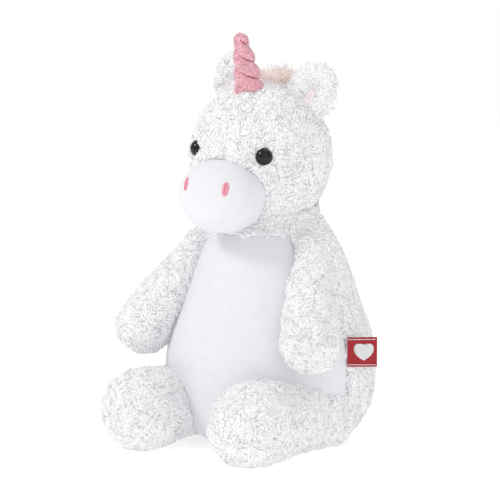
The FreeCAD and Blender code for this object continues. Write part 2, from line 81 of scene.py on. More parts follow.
SKIN_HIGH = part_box("back_panel")[1]
HIP_RADIUS = SKIN_HIGH.x
TORSO_TOP = SKIN_HIGH.z
HEAD = middle("head_cover")
HEAD_RADIUS = half("head_cover").x
SEAM_ANGLE = math.radians(82.5)
# how far a fabric skin stands out from its CAD face
SKIN_OUT = 0.8 * MM
# the head leans a little to one side, as the line between the eyes shows
EYES = middle("left_eye") - middle("right_eye")
TILT = Matrix.Rotation(math.atan2(-EYES.z, EYES.x), 4, "Y")


# ---- numpy helpers -------------------------------------------------------------------


def unit(rows):
    return rows / np.maximum(np.linalg.norm(rows, axis=-1, keepdims=True), 1e-12)


def smooth(edge0, edge1, value):
    share = np.clip((value - edge0) / (edge1 - edge0), 0, 1)
    return share * share * (3 - 2 * share)


def bumps(points, size, seed):
    """Smooth noise from -1 to 1 at each point, with lumps of the given size."""
    shift = Vector((seed * 7.3, seed * 3.1, seed * 5.7))
    return np.array([noise.noise(Vector(p) / size + shift) for p in points])


def waves(points, size, seed, count=5):
    """Three smooth fields of summed sine waves, used as directions that swirl."""
    random = np.random.default_rng(seed)
    field = np.zeros((len(points), 3))
    for axis in range(3):
        for _ in range(count):
            heading = unit(random.normal(size=3)) * 2 * math.pi / (size * random.uniform(0.7, 1.4))
            field[:, axis] += np.sin(points @ heading + random.uniform(0, 6.28))
    return field


def new_object(name, points, faces, material, smooth_faces=True):
    mesh = bpy.data.meshes.new(name)
    mesh.from_pydata([tuple(p) for p in points], [], faces)
    mesh.update()
    thing = bpy.data.objects.new(name, mesh)
    bpy.context.collection.objects.link(thing)
    if material:
        mesh.materials.append(material)
    if smooth_faces:
        mesh.shade_smooth()
    return thing


def closed_grid(name, rings, material, closed_ends=True):
    """A skin through rings of points, closed round and, with a fan, at both ends."""
    count, around = len(rings), len(rings[0])
    points = [p for ring in rings for p in ring]
    faces = []
    for i in range(count - 1):
        for j in range(around):
            k = (j + 1) % around
            faces.append((i * around + j, i * around + k, (i + 1) * around + k, (i + 1) * around + j))
    if closed_ends:
        for i, order in ((0, -1), (count - 1, 1)):
            centre = len(points)
            points.append(np.mean(rings[i], axis=0))
            for j in range(around):
                k = (j + 1) % around
                pair = (i * around + j, i * around + k)
                faces.append((pair[0], pair[1], centre) if order > 0 else (pair[1], pair[0], centre))
    thing = new_object(name, points, faces, material)
    if closed_ends and outward_share(thing) < 0:
        thing.data.flip_normals()
    return thing


def outward_share(thing):
    """Positive when a closed skin's faces look outward."""
    centre = Vector(mesh_points(thing).mean(axis=0))
    return sum((face.center - centre).dot(face.normal) * face.area for face in thing.data.polygons)


def mesh_points(thing):
    data = np.empty(len(thing.data.vertices) * 3)
    thing.data.vertices.foreach_get("co", data)
    return data.reshape(-1, 3)


def mesh_normals(thing):
    data = np.empty(len(thing.data.vertices) * 3)
    thing.data.vertices.foreach_get("normal", data)
    return data.reshape(-1, 3)


def set_points(thing, points):
    thing.data.vertices.foreach_set("co", np.ascontiguousarray(points).ravel())
    thing.data.update()


def above_floor(points, height=0.3 * MM):
    """Presses whatever would be under the floor flat onto it."""
    points[:, 2] = np.maximum(points[:, 2], height)
    return points


def lumps(thing, fine=0.5 * MM, coarse=1.2 * MM, seed=1, fine_size=6 * MM, coarse_size=26 * MM):
    """Soft unevenness of stuffed fabric, pushed along the surface's normals."""
    points = mesh_points(thing)
    push = fine * bumps(points, fine_size, seed) + coarse * bumps(points, coarse_size, seed + 9)
    set_points(thing, above_floor(points + mesh_normals(thing) * push[:, None]))


def apply_modifier(thing, kind, **settings):
    modifier = thing.modifiers.new(kind.lower(), kind)
    for key, value in settings.items():
        setattr(modifier, key, value)
    bpy.context.view_layer.objects.active = thing
    bpy.ops.object.modifier_apply(modifier=modifier.name)


def cut_out(thing, name, keep, material):
    """A copy of a skin with only the faces whose middle keep() accepts."""
    mesh = thing.data
    centres = np.array([face.center for face in mesh.polygons])
    chosen = np.nonzero(keep(centres))[0]
    used = {}
    faces = []
    for index in chosen:
        face = mesh.polygons[index]
        faces.append([used.setdefault(v, len(used)) for v in face.vertices])
    points = [mesh.vertices[v].co for v in used]
    return new_object(name, points, faces, material)


# ---- cloth: stuffing pushes the fabric out -------------------------------------------


def puff(thing, pinned, pressure=4.0, limit=5 * MM, voxel=4 * MM, seed=0):
    """Fills a closed skin by a short cloth simulation and keeps the result as plain mesh.
    pinned(points) gives the weight, from 0 to 1, that holds each point still."""
    material = thing.data.materials[0]
    apply_modifier(thing, "REMESH", mode="VOXEL", voxel_size=voxel)
    before = mesh_points(thing)
    group = thing.vertex_groups.new(name="sewn")
    for index, weight in enumerate(pinned(before)):
        if weight > 0:
            group.add([index], float(weight), "REPLACE")
    cloth = thing.modifiers.new("cloth", "CLOTH")
    cloth.settings.use_pressure = True
    cloth.settings.uniform_pressure_force = pressure
    cloth.settings.vertex_group_mass = "sewn"
    cloth.settings.effector_weights.gravity = 0
    cloth.settings.quality = 5
    cloth.point_cache.frame_start = 1
    cloth.point_cache.frame_end = 20
    for step in range(1, 21):
        bpy.context.scene.frame_set(step)
    graph = bpy.context.evaluated_depsgraph_get()
    evaluated = thing.evaluated_get(graph)
    after = np.array([v.co for v in evaluated.data.vertices])
    thing.modifiers.clear()
    thing.vertex_groups.clear()
    bpy.context.scene.frame_set(1)
    move = after - before
    length = np.linalg.norm(move, axis=1, keepdims=True)
    move *= np.minimum(1, limit / np.maximum(length, 1e-9))
    set_points(thing, above_floor(before + move))
    apply_modifier(thing, "SUBSURF", levels=1)
    if not thing.data.materials:
        thing.data.materials.append(material)
    thing.data.shade_smooth()
    return thing


# ---- pile: curled tufts as closed meshes ---------------------------------------------


def samples(things, count, seed, keep=None):
    """Random points on some skins with their normals, spread evenly by area."""
    corners, normals = [], []
    for thing in things:
        mesh = thing.data
        mesh.calc_loop_triangles()
        triangles = np.empty(len(mesh.loop_triangles) * 3, int)
        mesh.loop_triangles.foreach_get("vertices", triangles)
        triangles = triangles.reshape(-1, 3)
        corners.append(mesh_points(thing)[triangles])
        normals.append(mesh_normals(thing)[triangles])
    corners = np.concatenate(corners)
    normals = np.concatenate(normals)
    if keep:
        chosen = keep(corners.mean(axis=1), normals.mean(axis=1))
        corners, normals = corners[chosen], normals[chosen]
    area = np.linalg.norm(np.cross(corners[:, 1] - corners[:, 0], corners[:, 2] - corners[:, 0]), axis=1)
    random = np.random.default_rng(seed)
    picks = random.choice(len(area), count, p=area / area.sum())
    a, b = random.random(count), random.random(count)
    flip = a + b > 1
    a[flip], b[flip] = 1 - a[flip], 1 - b[flip]
    weights = np.stack([1 - a - b, a, b], axis=1)[:, :, None]
    return (corners[picks] * weights).sum(axis=1), unit((normals[picks] * weights).sum(axis=1))


RING_STEPS = np.array([0.0, 0.38, 0.74, 1.0])
RING_WIDTHS = np.array([1.0, 0.95, 0.62])


def tuft_faces():
    """One tuft's faces: a root cap, two bands of quads and a pointed end."""
    faces = [(2, 1, 0)]
    for ring in (0, 1):
        for j in range(3):
            k = (j + 1) % 3
            faces.append((ring * 3 + j, ring * 3 + k, ring * 3 + 3 + k, ring * 3 + 3 + j))
    for j in range(3):
        faces.append((6 + j, 6 + (j + 1) % 3, 9))
    return faces


def pile(name, skins, count, material, seed, length=5.2, radius=1.45, lift=0.34, swirl=11.0,
         curl=1.7, keep=None, comb=None):
    """Curly pile: each tuft leaves the skin, leans the way its neighbours do and curls over.
    length, radius and swirl, the size of the pile's swirls, are in millimetres."""
    root, normal = samples(skins, count, seed, keep)
    random = np.random.default_rng(seed + 1)
    heading = waves(root, swirl * MM, seed + 2)
    heading += 0.25 * random.normal(size=heading.shape)
    if comb is not None:
        heading += comb(root)
    heading -= normal * (heading * normal).sum(axis=1, keepdims=True)
    heading = unit(heading)
    across = np.cross(normal, heading)
    size = length * MM * random.uniform(0.7, 1.15, count)
    twist = waves(root, swirl * 0.6 * MM, seed + 5)[:, 0] * 0.9 + random.normal(size=count) * 0.3
    middle_line = []
    for step in RING_STEPS:
        # the tuft rises, leans over and comes back down at its tip
        angle = lift + (lift + 0.15 - curl) * step
        forward = np.sin(step * curl) / curl
        rise = lift * (1 - np.cos(step * curl)) / curl + 0.22 * step
        side = twist * step * step * 0.45
        middle_line.append(root + size[:, None] * (heading * forward + normal * rise * 0.8
                                                   + across * side[:, None]))
    line = np.stack(middle_line, axis=1)
    line[:, 0] -= normal * 0.6 * MM
    wide = radius * MM * random.uniform(0.75, 1.2, count)
    points = np.zeros((count, 10, 3))
    for ring in range(3):
        run = unit(line[:, ring + 1] - line[:, max(ring - 1, 0)])
        first = unit(np.cross(run, normal + 0.01 * across))
        second = np.cross(run, first)
        for j in range(3):
            turn = 2 * math.pi * j / 3
            offset = first * math.cos(turn) + second * math.sin(turn)
            points[:, ring * 3 + j] = line[:, ring] + offset * (wide * RING_WIDTHS[ring])[:, None]
    points[:, 9] = line[:, 3]
    points = above_floor(points.reshape(-1, 3), 0.1 * MM)
    return tufts_object(name, points, count, material)


def tufts_object(name, points, count, material):
    pattern = tuft_faces()
    per = 10
    sizes = np.array([len(face) for face in pattern])
    loops = np.concatenate([np.array(face) for face in pattern])
    vertex_index = (loops[None, :] + per * np.arange(count)[:, None]).ravel()
    starts = (np.cumsum(sizes) - sizes)[None, :] + sizes.sum() * np.arange(count)[:, None]
    mesh = bpy.data.meshes.new(name)
    mesh.vertices.add(len(points))
    mesh.vertices.foreach_set("co", points.ravel())
    mesh.loops.add(len(vertex_index))
    mesh.loops.foreach_set("vertex_index", vertex_index)
    mesh.polygons.add(count * len(pattern))
    mesh.polygons.foreach_set("loop_start", starts.ravel())
    mesh.update(calc_edges=True)
    mesh.shade_smooth()
    # each tuft has its own cell of the map, from root to tip
    layer = mesh.uv_layers.new(name="OFBake")
    cells = math.ceil(math.sqrt(count))
    ring_of = np.minimum(loops // 3, 3)
    local = np.stack([0.15 + 0.3 * (loops % 3), 0.1 + 0.26 * ring_of], axis=1)
    number = np.arange(count)
    corner = np.stack([number % cells, number // cells], axis=1)
    layer.data.foreach_set("uv", ((corner[:, None, :] + local[None]) / cells).ravel())
    mesh.materials.append(material)
    thing = bpy.data.objects.new(name, mesh)
    bpy.context.collection.objects.link(thing)
    return thing


# ---- materials -----------------------------------------------------------------------


def fabric(name, light, dark, scale, roughness=0.92, sheen=0.35, bump=0.0, bump_scale=900.0,
           glow=0.0):
    """Fabric whose tone drifts between two colours, with a fine relief of its own. glow stands
    for the light that bounces many times between pale hairs."""
    material = bpy.data.materials.new(name)
    material.use_nodes = True
    nodes = material.node_tree.nodes
    links = material.node_tree.links
    shader = nodes["Principled BSDF"]
    place = nodes.new("ShaderNodeTexCoord")
    cloud = nodes.new("ShaderNodeTexNoise")
    cloud.inputs["Scale"].default_value = scale
    cloud.inputs["Detail"].default_value = 5
    links.new(place.outputs["Object"], cloud.inputs["Vector"])
    ramp = nodes.new("ShaderNodeValToRGB")
    ramp.color_ramp.elements[0].position = 0.3
    ramp.color_ramp.elements[0].color = (*dark, 1)
    ramp.color_ramp.elements[1].position = 0.62
    ramp.color_ramp.elements[1].color = (*light, 1)
    links.new(cloud.outputs["Fac"], ramp.inputs["Fac"])
    links.new(ramp.outputs["Color"], shader.inputs["Base Color"])
    shader.inputs["Roughness"].default_value = roughness
    shader.inputs["Sheen Weight"].default_value = sheen
    shader.inputs["Sheen Roughness"].default_value = 0.5
    shader.inputs["Emission Strength"].default_value = glow
    links.new(ramp.outputs["Color"], shader.inputs["Emission Color"])
    shader.inputs["Specular IOR Level"].default_value = 0.2
    if bump:
        grain = nodes.new("ShaderNodeTexNoise")
        grain.inputs["Scale"].default_value = bump_scale
        grain.inputs["Detail"].default_value = 3
        links.new(place.outputs["Object"], grain.inputs["Vector"])
        relief = nodes.new("ShaderNodeBump")
        relief.inputs["Strength"].default_value = bump
        relief.inputs["Distance"].default_value = 0.0006
        links.new(grain.outputs["Fac"], relief.inputs["Height"])
        links.new(relief.outputs["Normal"], shader.inputs["Normal"])
    return material


def plastic(name, colour, roughness, coat=0.0, metallic=0.0, specular=0.5):
    """Moulded plastic or enamel with faint marks in its gloss."""
    material = bpy.data.materials.new(name)
    material.use_nodes = True
    nodes = material.node_tree.nodes
    links = material.node_tree.links
    shader = nodes["Principled BSDF"]
    shader.inputs["Base Color"].default_value = (*colour, 1)
    shader.inputs["Metallic"].default_value = metallic
    shader.inputs["Coat Weight"].default_value = coat
    shader.inputs["Specular IOR Level"].default_value = specular
    shader.inputs["Coat Roughness"].default_value = 0.04
    place = nodes.new("ShaderNodeTexCoord")
    marks = nodes.new("ShaderNodeTexNoise")
    marks.inputs["Scale"].default_value = 700
    links.new(place.outputs["Object"], marks.inputs["Vector"])
    span = nodes.new("ShaderNodeMapRange")
    span.inputs["To Min"].default_value = roughness * 0.8
    span.inputs["To Max"].default_value = roughness * 1.3
    links.new(marks.outputs["Fac"], span.inputs["Value"])
    links.new(span.outputs["Result"], shader.inputs["Roughness"])
    return material


WHITE_PILE = fabric("white_pile", (0.92, 0.915, 0.93), (0.88, 0.875, 0.895), 60, glow=0.11)
WHITE_SKIN = fabric("white_backing", (0.9, 0.895, 0.91), (0.87, 0.865, 0.88), 90, bump=0.5, glow=0.08)
VELBOA = fabric("white_velboa", (0.8, 0.795, 0.825), (0.775, 0.77, 0.805), 140, sheen=0.3,
                bump=0.35, bump_scale=1600)
PINK_PILE = fabric("pink_pile", (0.96, 0.86, 0.82), (0.95, 0.79, 0.76), 80, sheen=0.4, glow=0.14)
BOUCLE = fabric("pink_boucle", (0.94, 0.6, 0.66), (0.92, 0.5, 0.58), 900, 0.6, sheen=0.3, glow=0.08)
CORD = fabric("deep_pink_cord", (0.55, 0.1, 0.19), (0.45, 0.06, 0.14), 900, 0.6, bump=0.3)
SATIN = fabric("pink_satin", (0.88, 0.4, 0.48), (0.82, 0.32, 0.41), 500, 0.38, sheen=0.2)
SATIN_DARK = fabric("pink_satin_line", (0.66, 0.17, 0.26), (0.6, 0.13, 0.22), 500, 0.45)
LINING = fabric("pink_lining", (0.94, 0.84, 0.85), (0.92, 0.78, 0.81), 120, sheen=0.5, bump=0.4)
# seam thread: a real seam, painted a grey darker than the fabric to stand for the shade of the fold it
# lies in
SEAM_AND_SHADE = fabric("seam_thread_and_painted_shade", (0.55, 0.545, 0.57), (0.5, 0.495, 0.52), 800, bump=0.3)
RIBBON = fabric("red_ribbon", (0.4, 0.022, 0.03), (0.33, 0.012, 0.02), 500, 0.5, bump=0.4,
                bump_scale=2600)
RIBBON_WHITE = fabric("white_ribbon_thread", (0.86, 0.85, 0.85), (0.76, 0.75, 0.76), 900, 0.55, bump=0.4)
GLINT = plastic("glitter_thread", (0.95, 0.8, 0.84), 0.18, metallic=0.9)
EYE = plastic("black_eye", (0.004, 0.004, 0.005), 0.04, coat=0.15, specular=0.3)
HARD_WHITE = plastic("white_nylon", (0.75, 0.75, 0.76), 0.4)
TAPE = fabric("zip_tape_weave", (0.8, 0.8, 0.8), (0.7, 0.7, 0.71), 2000, bump=0.5, bump_scale=3000)


# ---- shared shapes -------------------------------------------------------------------


def through(places, values, at):
    """A smooth curve through a few (place, value) pairs, read at many places."""
    places = np.array(places, float)
    values = np.array(values, float)
    slopes = np.gradient(values, places)
    at = np.clip(at, places[0], places[-1])
    i = np.clip(np.searchsorted(places, at, side="right") - 1, 0, len(places) - 2)
    span = places[i + 1] - places[i]
    u = (at - places[i]) / span
    return ((2 * u ** 3 - 3 * u ** 2 + 1) * values[i] + (u ** 3 - 2 * u ** 2 + u) * span * slopes[i]
            + (3 * u ** 2 - 2 * u ** 3) * values[i + 1] + (u ** 3 - u ** 2) * span * slopes[i + 1])


def cord_along(name, path, radius, material, closed=False, sides=8):
    """A round thread as a mesh along a path of points."""
    path = np.array(path, float)
    if closed:
        run = unit(np.roll(path, -1, 0) - np.roll(path, 1, 0))
    else:
        run = unit(np.gradient(path, axis=0))
    first = unit(np.cross(run, unit(path - path.mean(axis=0)) + 1e-6))
    second = np.cross(run, first)
    rings = []
    for i in range(len(path)):
        turns = [2 * math.pi * j / sides for j in range(sides)]
        rings.append([path[i] + radius * (first[i] * math.cos(t) + second[i] * math.sin(t))
                      for t in turns])
    if closed:
        rings.append(rings[0])
        thing = closed_grid(name, rings, material, closed_ends=False)
        apply_modifier(thing, "WELD", merge_threshold=radius * 0.01)
        return thing
    return closed_grid(name, rings, material)


def finish_piece(thing, body, replaced=(), blend=None):
    """Hides the CAD parts a piece replaces and parents it to its body; with blend, only bakes its place.
    """
    if replaced:
        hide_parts(*replaced)
    if blend:
        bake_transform(thing)
    else:
        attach(thing, body)


def tilt_point(offset):
    """A point given from the head's centre, upright, turned by the head's lean."""
    return np.array(HEAD + TILT @ Vector(offset))


def solidify(thing, thickness):
    apply_modifier(thing, "SOLIDIFY", thickness=thickness, offset=-1)


# ---- torso ---------------------------------------------------------------------------

# radius of the torso as a share of its widest, by height as a share of its top
TORSO_HEIGHTS = (0.0, 0.03, 0.09, 0.18, 0.27, 0.47, 0.66, 0.81, 0.955, 1.06)
TORSO_WIDTHS = (0.71, 0.80, 0.905, 0.985, 1.015, 0.99, 0.868, 0.755, 0.63, 0.50)
AROUND = 320
NECKLINE = 160 * MM
# faces of the torso under this height belong to the flat seat
SEAT_HEIGHT = 1.4 * MM


def seam_angle(height):
    """The side seams run forward as they climb to the neck."""
    return SEAM_ANGLE - 0.5 * smooth(112 * MM, 158 * MM, height)


def torso_skin():
    angles = np.linspace(0, 2 * math.pi, AROUND, endpoint=False)
    from_front = np.abs((angles + math.pi / 2 + math.pi) % (2 * math.pi) - math.pi)
    belly = smooth(SEAM_ANGLE, SEAM_ANGLE - 0.6, from_front)
    base = HIP_RADIUS * TORSO_WIDTHS[0]
    rings = []
    for radius in np.linspace(0.03, 0.97, 22) * base:
        rings.append([(radius * math.cos(a), radius * math.sin(a), 0.5 * MM) for a in angles])
    for share in np.linspace(0, TORSO_HEIGHTS[-1], 150):
        height = share * TORSO_TOP + 0.5 * MM
        radius = HIP_RADIUS * float(through(TORSO_HEIGHTS, TORSO_WIDTHS, share))
        pinch = 1.6 * MM * np.exp(-((from_front - seam_angle(height)) / 0.035) ** 2)
        low_belly = 2.0 * MM * math.exp(-((share - 0.33) / 0.2) ** 2)
        reach = radius - pinch * smooth(0.0, 0.08, share) + belly * low_belly
        rings.append([(r * math.cos(a), r * math.sin(a), height) for r, a in zip(reach, angles)])
    top = HIP_RADIUS * TORSO_WIDTHS[-1]
    for turn in np.linspace(0.2, 1.45, 8):
        radius = top * math.cos(turn)
        height = TORSO_HEIGHTS[-1] * TORSO_TOP + 4 * MM * math.sin(turn)
        rings.append([(radius * math.cos(a), radius * math.sin(a), height) for a in angles])
    skin = closed_grid("torso_whole", rings, VELBOA)
    lumps(skin, fine=0.12 * MM, coarse=1.1 * MM, seed=3, coarse_size=42 * MM)
    return skin


def belly_zone(points):
    from_front = np.abs(np.arctan2(points[:, 0], -points[:, 1]))
    return (from_front < seam_angle(points[:, 2])) & (points[:, 2] < NECKLINE)


def seat_zone(points):
    from_axis = np.hypot(points[:, 0], points[:, 1])
    return (points[:, 2] < SEAT_HEIGHT) & (from_axis < 0.98 * HIP_RADIUS * TORSO_WIDTHS[0])


def zip_zone(points):
    low = Vector(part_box("zip_tape_front")[0])
    high = Vector(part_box("zip_tape_back")[1])
    return ((points[:, 0] > low.x) & (points[:, 0] < high.x)
            & (points[:, 1] > low.y) & (points[:, 1] < high.y) & (points[:, 2] < SEAT_HEIGHT))


def make_torso():
    whole = torso_skin()
    belly = cut_out(whole, "belly_panel_velboa", lambda p: belly_zone(p) & ~seat_zone(p), VELBOA)
    back = cut_out(whole, "back_panel_backing", lambda p: ~belly_zone(p) & ~seat_zone(p), WHITE_SKIN)
    seat = cut_out(whole, "seat_panel_backing", lambda p: seat_zone(p) & ~zip_zone(p), WHITE_SKIN)
    bpy.data.objects.remove(whole)

    def above_seat(points, normals):
        return points[:, 2] > 2.5 * MM

    for part, seed, sign in (("left", 11, 1), ("right", 14, -1)):
        def on_side(points, normals, sign=sign):
            return above_seat(points, normals) & (points[:, 0] * sign > 0)

        fluff = pile(f"back_panel_pile_{part}", [back], 10500, WHITE_PILE, seed, keep=on_side)
        finish_piece(fluff, "torso")
    for thing in (belly, back, seat):
        solidify(thing, 1.6 * MM)
    finish_piece(belly, "torso", ["belly_panel"])
    finish_piece(back, "torso", ["back_panel", "body_pod_liner", "body_pod_fill"])
    finish_piece(seat, "torso", ["seat_panel"])
    side_seams()


def side_seams():
    """The thread that shows in the fold between the belly and the furry back, grey with painted shade.
    """
    for name, side in SIDES.items():
        path = []
        for share in np.linspace(0.05, 0.98, 80):
            angle = -math.pi / 2 + side * float(seam_angle(share * TORSO_TOP))
            radius = HIP_RADIUS * float(through(TORSO_HEIGHTS, TORSO_WIDTHS, share)) - 1.2 * MM
            path.append((radius * math.cos(angle), radius * math.sin(angle), share * TORSO_TOP))
        seam = cord_along(f"{name}_side_seam", path, 0.45 * MM, SEAM_AND_SHADE)
        finish_piece(seam, "torso")


# ---- head ----------------------------------------------------------------------------


def egg_rings(centre, across, deep, tall, rows, columns):
    """Rings of an ellipsoid."""
    rings = []
    for turn in np.linspace(-math.pi / 2, math.pi / 2, rows + 2)[1:-1]:
        flat = math.cos(turn)
        height = math.sin(turn)
        angles = np.linspace(0, 2 * math.pi, columns, endpoint=False)
        rings.append([(centre[0] + across * flat * math.cos(a), centre[1] + deep * flat * math.sin(a),
                       centre[2] + tall * height) for a in angles])
    return rings


def near(points, centre, reach):
    return np.linalg.norm(points - np.array(centre), axis=1) < reach


MUZZLE_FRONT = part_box("muzzle_cover")[0].y
MUZZLE_HALF = half("muzzle_cover")
MUZZLE_DEPTH = 25 * MM
MUZZLE = Vector((middle("muzzle_cover").x, MUZZLE_FRONT + MUZZLE_DEPTH, middle("muzzle_cover").z))
EYE_CENTRES = {name: middle(f"{name}_eye") for name in SIDES}


def inside_muzzle(points, grow=1.0):
    away = (points - np.array(MUZZLE)) / np.array((MUZZLE_HALF.x, MUZZLE_DEPTH, MUZZLE_HALF.z))
    return np.linalg.norm(away, axis=1) < grow


def make_head():
    radius = HEAD_RADIUS + SKIN_OUT
    rings = egg_rings(HEAD, radius, radius, radius + 2 * MM, 130, 190)
    skin = closed_grid("head_cover_backing", rings, WHITE_SKIN)
    lumps(skin, fine=0.9 * MM, coarse=1.0 * MM, seed=5, fine_size=7 * MM, coarse_size=32 * MM)
    points = mesh_points(skin)
    # the eyes pull the fabric in around them
    for place in EYE_CENTRES.values():
        away = np.linalg.norm(points - np.array(place), axis=1)
        dent = 2.2 * MM * np.exp(-(away / (9 * MM)) ** 2)
        points -= unit(points - np.array(HEAD)) * dent[:, None]
    set_points(skin, points)

    def furry(points, normals):
        clear = ~inside_muzzle(points, 0.98)
        for place in EYE_CENTRES.values():
            clear &= ~near(points, place, 6.9 * MM)
        clear &= ~near(points, pivot("horn_bend"), 9 * MM)
        return clear

    fluff = pile("head_cover_pile", [skin], 12400, WHITE_PILE, 21, keep=furry)
    finish_piece(skin, "head", ["head_cover", "head_pod_liner", "head_pod_fill"])
    finish_piece(fluff, "head")


def muzzle_point(angle, turn, grow=0.0):
    """A point on the muzzle: angle goes round its front axis, turn goes from its tip."""
    across = (MUZZLE_HALF.x + grow) * math.cos(angle) * math.sin(turn)
    up = (MUZZLE_HALF.z + grow) * math.sin(angle) * math.sin(turn)
    # the front is a little flatter than an egg's
    deep = (MUZZLE_DEPTH + grow) * (abs(math.cos(turn)) ** 0.8) * (1 if turn < math.pi / 2 else -1)
    return np.array((MUZZLE.x + across, MUZZLE.y - deep, MUZZLE.z + up))


def head_depth(point):
    away = np.array(point) - np.array(HEAD)
    return np.linalg.norm(away) - (HEAD_RADIUS + SKIN_OUT)


def make_muzzle():
    rings = []
    columns = 160
    for turn in np.linspace(0.02, 2.1, 90):
        angles = np.linspace(0, 2 * math.pi, columns, endpoint=False)
        rings.append([tuple(muzzle_point(a, turn, SKIN_OUT)) for a in angles])
    skin = closed_grid("muzzle_velboa", rings, VELBOA)
    lumps(skin, fine=0.08 * MM, coarse=0.45 * MM, seed=8, coarse_size=24 * MM)
    finish_piece(skin, "head", ["muzzle_cover", "muzzle_fill"])
    # the seam where the muzzle meets the furry head, its thread grey with painted shade
    path = []
    for angle in np.linspace(0, 2 * math.pi, 120, endpoint=False):
        low, high = 0.4, 2.1
        for _ in range(24):
            trial = (low + high) / 2
            if head_depth(muzzle_point(angle, trial, SKIN_OUT)) > 0.9 * MM:
                low = trial
            else:
                high = trial
        path.append(muzzle_point(angle, low, 0.9 * MM))
    seam = cord_along("muzzle_seam", path, 0.45 * MM, SEAM_AND_SHADE, closed=True)
    finish_piece(seam, "head")


def on_muzzle(x, z):
    """The point of the muzzle's skin straight in front of (x, z)."""
    across = (x - MUZZLE.x) / (MUZZLE_HALF.x + SKIN_OUT)
    up = (z - MUZZLE.z) / (MUZZLE_HALF.z + SKIN_OUT)
    out = math.hypot(across, up)
    turn = math.asin(min(out, 0.999))
    return muzzle_point(math.atan2(up, across), turn, SKIN_OUT)


def make_nostrils():
    """Satin stitch: rows of thread side by side, and a darker line of thread down the middle."""
    for name in SIDES:
        centre = middle(f"{name}_nostril")
        reach = half(f"{name}_nostril")
        tall = reach.z * 0.98
        wide = 2.0 * MM
        threads = []
        rows = 19
        for row in range(rows):
            up = tall * (2 * (row + 0.5) / rows - 1)
            span = wide * math.sqrt(max(1 - (up / tall) ** 2, 0)) + 0.15 * MM
            path = []
            for share in np.linspace(-1, 1, 9):
                place = on_muzzle(centre.x + share * span, centre.z + up)
                place[1] -= 0.75 * MM * math.sqrt(max(1 - share ** 2, 0)) * (1 - 0.5 * (up / tall) ** 2)
                path.append(place)
            threads.append(cord_along("thread", path, 0.36 * MM, SATIN, sides=6))
        line = []
        for share in np.linspace(-0.78, 0.78, 16):
            place = on_muzzle(centre.x, centre.z + share * tall)
            place[1] -= 1.05 * MM
            line.append(place)
        threads.append(cord_along("thread", line, 0.3 * MM, SATIN_DARK, sides=6))
        patch = join(f"{name}_nostril_satin", threads)
        finish_piece(patch, "head", [f"{name}_nostril"])


def join(name, things):
    bpy.ops.object.select_all(action="DESELECT")
    for thing in things:
        thing.select_set(True)
    bpy.context.view_layer.objects.active = things[0]
    bpy.ops.object.join()
    things[0].name = name
    return things[0]


# ---- horn ----------------------------------------------------------------------------

HORN_BASE = pivot("horn_bend")
HORN_LEAN = math.radians(22)
HORN_LENGTH = 49.2 * MM
HORN_TURNS = 1.8
HORN_STRANDS = 2
HORN_FRAME = (Matrix.Translation(HORN_BASE) @ TILT @ Matrix.Rotation(HORN_LEAN, 4, "X"))


def horn_width(share):
    """The horn's radius at a share of its height, without its spiral."""
    shares = (-0.06, 0.0, 0.5, 0.86, 0.95, 1.0)
    radii = (11.6, 11.2, 7.9, 4.9, 3.7, 1.0)
    return float(through(shares, radii, share)) * MM


def horn_point(share, angle, out=0.0):
    phase = HORN_STRANDS * (angle + 2 * math.pi * HORN_TURNS * share) % (2 * math.pi)
    groove = math.exp(-((min(phase, 2 * math.pi - phase)) / 0.6) ** 2)
    swell = 0.5 + 0.5 * math.cos(phase - math.pi)
    radius = horn_width(share) * (0.84 + 0.22 * swell - 0.14 * groove) + out
    local = Vector((radius * math.cos(angle), radius * math.sin(angle), share * HORN_LENGTH))
    return tuple(HORN_FRAME @ local)


def make_horn():
    rings = []
    for share in np.linspace(-0.06, 1.0, 150):
        angles = np.linspace(0, 2 * math.pi, 96, endpoint=False)
        rings.append([horn_point(share, a) for a in angles])
    skin = closed_grid("horn_backing", rings, BOUCLE)

    def off_groove(points, normals):
        local = np.array([HORN_FRAME.inverted() @ Vector(p) for p in points])
        angle = np.arctan2(local[:, 1], local[:, 0])
        wound = 2 * math.pi * HORN_TURNS * local[:, 2] / HORN_LENGTH
        phase = HORN_STRANDS * (angle + wound) % (2 * math.pi)
        return (np.minimum(phase, 2 * math.pi - phase) > 0.45) & (local[:, 2] > 1.5 * MM)

    loops = pile("horn_boucle", [skin], 9000, BOUCLE, 31, length=1.3, radius=0.34, lift=0.9,
                 swirl=5.0, curl=2.6, keep=off_groove)
    glitter = pile("horn_glitter", [skin], 900, GLINT, 37, length=1.6, radius=0.13, lift=1.5,
                   swirl=4.0, curl=1.2, keep=off_groove)
    cords = []
    for strand in range(HORN_STRANDS):
        path = []
        for share in np.linspace(0.0, 0.93, 200):
            angle = 2 * math.pi * (strand / HORN_STRANDS - HORN_TURNS * share)
            path.append(horn_point(share, angle, 0.2 * MM))
        cords.append(cord_along("horn_cord_thread", path, 0.6 * MM, CORD))
    cord = join("horn_cord_threads", cords)
    finish_piece(skin, "horn", ["horn_cover", "horn_fill"])
    finish_piece(loops, "horn")
    finish_piece(glitter, "horn")
    finish_piece(cord, "horn", ["horn_cord"])


# ---- ears ----------------------------------------------------------------------------


# half the width and height of the lining that shows in the hollow of an ear
LINING_HALF = (3.6 * MM, 6.0 * MM)


